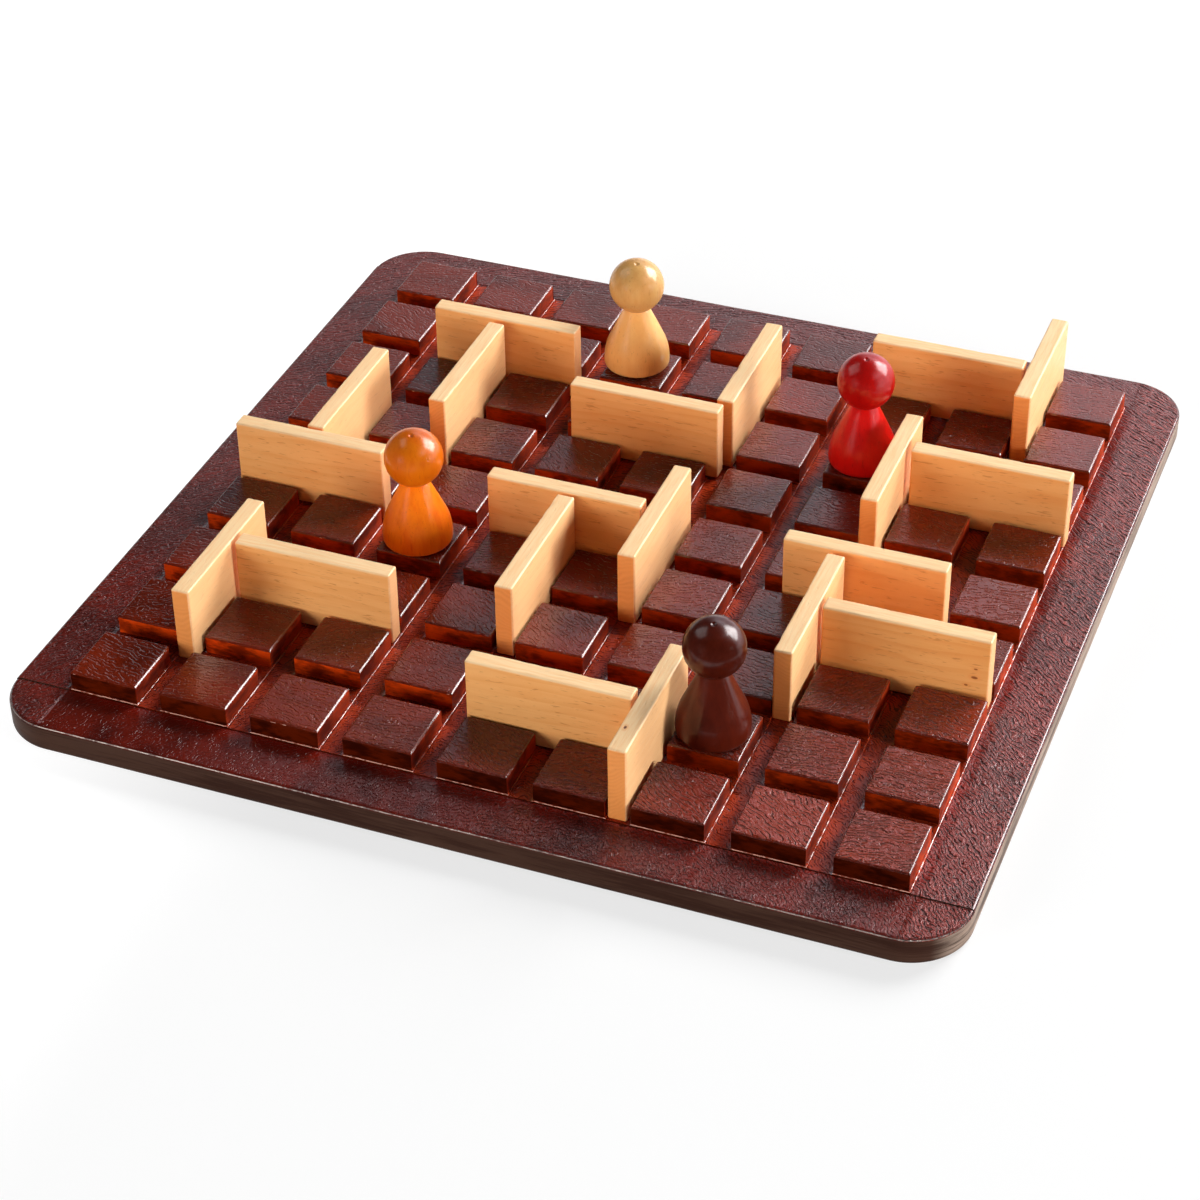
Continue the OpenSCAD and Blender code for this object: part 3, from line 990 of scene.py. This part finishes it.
def buildWall(name, chance, material):
    low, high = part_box(name)
    centre, extent = (low + high) / 2, high - low
    across = extent.x > extent.y
    size = (max(extent.x, extent.y), min(extent.x, extent.y), extent.z)
    points, faces = softBox(size, walls["round"], walls["gridStep"])
    points = wearWall(points, size, chance)
    mesh = finishMesh(name, points, faces, 0.002 * mm)
    local = readVectors(mesh)
    # the strip's place in the plank: distance and direction of the heart, and a little slope of grain
    heart = chance.uniform(*walls["heart"]) * mm
    turn = chance.choice(walls["hearts"]) * pi + chance.uniform(-0.1, 0.1)
    slope = chance.uniform(-walls["slope"], walls["slope"])
    wood = local + np.array([chance.uniform(0, 0.8), heart * cos(turn), heart * sin(turn)])
    wood[:, 2] += slope * local[:, 0]
    inner = np.array(size) / 2 - walls["round"]
    near = np.sort(np.abs(local) / inner, axis=1)[:, 1]
    # painted light: edges that face up or to the right, the top and the right-hand faces are marked to be painted
    # pale
    facing = (local - np.clip(local, -inner, inner)) / walls["round"]
    right = facing[:, 0] if across else -facing[:, 1]
    tone = chance.uniform(-1, 1)
    storeValues(mesh, woodPlace=wood, endGrain=np.abs(local[:, 0]) > size[0] / 2 - 0.25 * mm,
                edge=smoothstep(0.99, 1.02, near) * smoothstep(0.1, 0.5, facing[:, 2] + right),
                crown=smoothstep(size[2] / 2 - 0.7 * mm, size[2] / 2 - 0.2 * mm, local[:, 2]),
                tone=np.full(len(local), walls["tones"].get(name, tone)), rightFace=smoothstep(0.6, 0.9, right))
    knots = walls["knots"].get(name, []) + [walls["noKnot"]] * 3
    for number, spot in enumerate(knots[:3]):
        place = np.array(spot[:3]) * mm - np.array([0, 0, size[2] / 2])
        storeValues(mesh, **{f"fromKnot{number}": (local - place) / (np.array(spot[3:6]) * mm),
                             f"knotDepth{number}": np.full(len(local), spot[6])})
    turnBy = Matrix.Identity(4) if across else Matrix.Rotation(pi / 2, 4, "Z")
    mesh.transform(Matrix.Translation(centre) @ turnBy)
    mesh.materials.append(material)
    addPiece(f"{name}_strip", mesh, name, [name])


def wallMaterial():
    material, tree = newMaterial("paleBeech", walls["shine"])
    wood = placeGroup(figureGroup, {"Vector": placeOf(tree, "woodPlace"), "Ring Width": 0.0032, "Wander": 0.55})
    tone, end, edge, crown, right = attributes(tree, "tone", "endGrain", "edge", "crown", "rightFace")
    bands = times(wood["Rings"], walls["ringShare"])
    bands = mathNode("ADD", bands, remap(wood["Cloud"], 0.35, 0.7, -0.05, 0.4))
    bands = timesPlus(tone, walls["toneShare"], bands, clamp=True)
    grain = blend(wood["Arcs"], walls["endTone"], walls["endDark"])
    grain = blend(fromNoise(wood["Cloud"], 0.2, 0.8), grain, walls["endTone"])
    # painted light: lit edges, the top and the right-hand faces turn toward the pale colour
    worn = times(edge, walls["edgeShare"])
    worn = larger(worn, times(crown, walls["crownShare"]))
    worn = times(worn, remap(wood["Fibre"], 0.3, 0.75, 1.0, 0.6))
    worn = larger(worn, times(right, walls["rightShare"]))
    colour = layered(walls["pale"], (bands, walls["ring"]),
                     (fromNoise(wood["Fibre"], 0.0, walls["fibreShare"]), walls["ring"]),
                     (times(wood["Flecks"], walls["fleckShare"]), walls["fleck"]),
                     (times(end, walls["endShare"]), grain), (worn, walls["crown"]))
    relief = minus(times(wood["Fibre"], 0.5), wood["Flecks"])
    for number in range(3):
        away = lengthOf(placeOf(tree, f"fromKnot{number}"))
        depth = attributes(tree, f"knotDepth{number}")[0]
        heart = blend(depth, walls["knotPale"], walls["knotTone"])
        knot = remap(away, 0.6, 1.05, 0.92, 0.0)
        colour = layered(colour, (remap(away, 0.9, 2.6, 0.5, 0.0), walls["endTone"]), (knot, heart))
        relief = minus(relief, times(times(knot, depth), 4.0))
    return linkSurface(material, colour, fromNoise(wood["Fibre"], *walls["rough"]), relief, *walls["bump"])


paleBeech = wallMaterial()
wallChance = random.Random(walls["seed"])
wallNames = [f"wall_{number:02d}" for number in range(1, 21)]
for wallName in wallNames:
    buildWall(wallName, wallChance, paleBeech)
print("walls:", len(wallNames))


# Pawns: turned from one piece, a bell with a ball head

pawns = {
    "headWidth": 16.6 * mm,
    "neckWidth": 7.4 * mm,
    "neckRound": 0.15 * mm,
    "bellyHeight": 2.8 * mm,
    "bellyRadius": 16.8 * mm,
    "soleRound": 1.8 * mm,
    "dimple": 0.85 * mm,  # lathe centre's mark, a little off the top
    "dimpleDepth": 0.42 * mm,
    "dimpleTilt": 9.5,
    "dimpleTurn": 285,
    "dimpleSlip": 8,  # degrees from pawn to pawn
    "segments": 144,
    "toolMarks": (0.012 * mm, 0.55 * mm),  # depth and spacing
    "wobble": (0.004, 9 * mm),
    "heart": (12, 26),
    "shine": {"Specular IOR Level": 0.02, "Coat Roughness": 0.21, "Coat IOR": 1.6},
    "coat": (0.62, 0.42),
    "rough": (0.32, 0.42),
    "patches": (150, 330, 330),
    "grain": (1100, 1100, 1100),
    "bump": (0.5, 0.09),
    "seed": 3,
    # light and dark stain, stain in the pores, and a factor on the bell and on the ball: painted light and shade,
    # with the ball painted darker than the bell
    "finishes": {
        "pawn_orange": ((0.95, 0.225, 0.005, 1), (0.8, 0.125, 0.003, 1), (0.34, 0.04, 0.003, 1), 1.05, 0.7),
        "pawn_dark": ((0.125, 0.014, 0.005, 1), (0.064, 0.007, 0.003, 1), (0.02, 0.003, 0.002, 1), 0.9, 0.55),
        "pawn_natural": ((0.95, 0.54, 0.185, 1), (0.85, 0.4, 0.11, 1), (0.42, 0.15, 0.04, 1), 1.05, 0.7),
        "pawn_red": ((0.64, 0.006, 0.004, 1), (0.46, 0.004, 0.003, 1), (0.14, 0.003, 0.003, 1), 1.12, 0.66),
    },
}


def pawnProfile(height, bellRadius):
    # from the middle of the foot up the outside to the mark on the head, as radius and height
    p = pawns
    headR, neckR, sole = p["headWidth"] / 2, p["neckWidth"] / 2, p["soleRound"]
    headZ = height - headR
    neck = (neckR, headZ - sqrt(headR ** 2 - neckR ** 2))
    belly = (bellRadius - p["bellyRadius"], p["bellyHeight"])
    gap = (neck[0] - belly[0], neck[1] - belly[1])
    lean = degrees(atan2(gap[1], gap[0]) - acos(p["bellyRadius"] / hypot(*gap)))
    foot = [(r * mm, 0.0) for r in (0.0, 2.5, 5.0)]
    profile = foot + arcPoints((bellRadius - sole, sole), sole, -90, 0, 6)
    profile += arcPoints(belly, p["bellyRadius"], 0, lean, 16)
    top = profile[-1]
    profile += [(top[0] + (neck[0] - top[0]) * t, top[1] + (neck[1] - top[1]) * t)
                for t in (0.2, 0.4, 0.6, 0.8, 0.93)]
    start = degrees(atan2(neck[1] - headZ, neck[0]))
    profile += [(neckR * 0.985, neck[1] - p["neckRound"])] + arcPoints((0, headZ), headR, start + 2.5, 66, 26)
    return profile + arcPoints((0, headZ), headR, 67.2, 90, 19)


def buildPawn(name, chance):
    low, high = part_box(name)
    centre, height = (low + high) / 2, high.z - low.z
    profile = pawnProfile(height, (high.x - low.x) / 2)
    count, headRadius = pawns["segments"], pawns["headWidth"] / 2
    turn = pawns["dimpleTurn"] + chance.uniform(-pawns["dimpleSlip"], pawns["dimpleSlip"])
    mark = directionOf(turn, 90 - pawns["dimpleTilt"]) * headRadius
    mark.z += height - headRadius
    points = []
    seed = chance.uniform(0, 40)
    (markDepth, markStep), (wobbleShare, wobbleSize) = pawns["toolMarks"], pawns["wobble"]
    for r, z in profile:
        marks = markDepth * noise.noise(Vector((seed, 0, z / markStep)))
        for k in range(count):
            a = 2 * pi * k / count
            wobble = 1 + wobbleShare * noise.noise(Vector((cos(a), sin(a), z / wobbleSize + seed)))
            reach = max(0.0, r * wobble + (marks if r > 2 * mm else 0))
            point = Vector((reach * cos(a), reach * sin(a), z))
            away = (point - mark).length / pawns["dimple"]
            points.append(point - Vector((0, 0, pawns["dimpleDepth"] * max(0.0, 1 - away * away) ** 1.5)))
    mesh = finishMesh(name, points, gridFaces(len(profile), count, around=True), 0.004 * mm, sharpAngle=50)
    local = readVectors(mesh)
    heart = chance.uniform(*pawns["heart"]) * mm
    turn = chance.uniform(0, 2 * pi)
    wood = np.stack([local[:, 2] + chance.uniform(0, 0.5), local[:, 0] + heart * cos(turn),
                     local[:, 1] + heart * sin(turn)], axis=1)
    # where the ball begins, for the painted shade that makes it darker than the bell
    ball = smoothstep(height - 2.1 * headRadius, height - 1.6 * headRadius, local[:, 2])
    storeValues(mesh, woodPlace=wood, ball=ball)
    mesh.transform(Matrix.Translation((centre.x, centre.y, low.z)))
    mesh.materials.append(pawnMaterial(name))
    addPiece(f"{name}_turned", mesh, name, [name])


def pawnMaterial(name):
    light, dark, pore, onBell, onBall = pawns["finishes"][name]
    material, tree = newMaterial(f"{name}_stain", pawns["shine"])
    place = placeOf(tree, "woodPlace")
    wood = placeGroup(figureGroup, {"Vector": place, "Ring Width": 0.0024, "Wander": 0.5})
    level = timesPlus(wood["Rings"], 0.12, fromNoise(wood["Cloud"], 0.0, 0.6))
    uneven = noiseField(place, pawns["patches"], detail=3, roughness=0.6)
    colour = layered(light, (level, dark),
                     (fromNoise(wood["Fibre"], 0.0, 0.25), dark),
                     (times(wood["Flecks"], 0.25), pore),
                     (remap(uneven, 0.5, 0.72, 0.0, 0.55), dark))
    # painted light and shade: the colour is scaled by the bell's and the ball's factors
    stain = remap(*attributes(tree, "ball"), 0.0, 1.0, onBell, onBall, kind="LINEAR")
    grain = noiseField(place, pawns["grain"])
    relief = timesPlus(grain, 0.6, times(wood["Fibre"], 0.4))
    return linkSurface(material, dimmed(colour, stain), fromNoise(wood["Fibre"], *pawns["rough"]),
                       relief, *pawns["bump"], coat=remap(uneven, 0.35, 0.65, *pawns["coat"]))


pawnChance = random.Random(pawns["seed"])
for pawnName in pawns["finishes"]:
    buildPawn(pawnName, pawnChance)
print("pawns:", len(pawns["finishes"]))
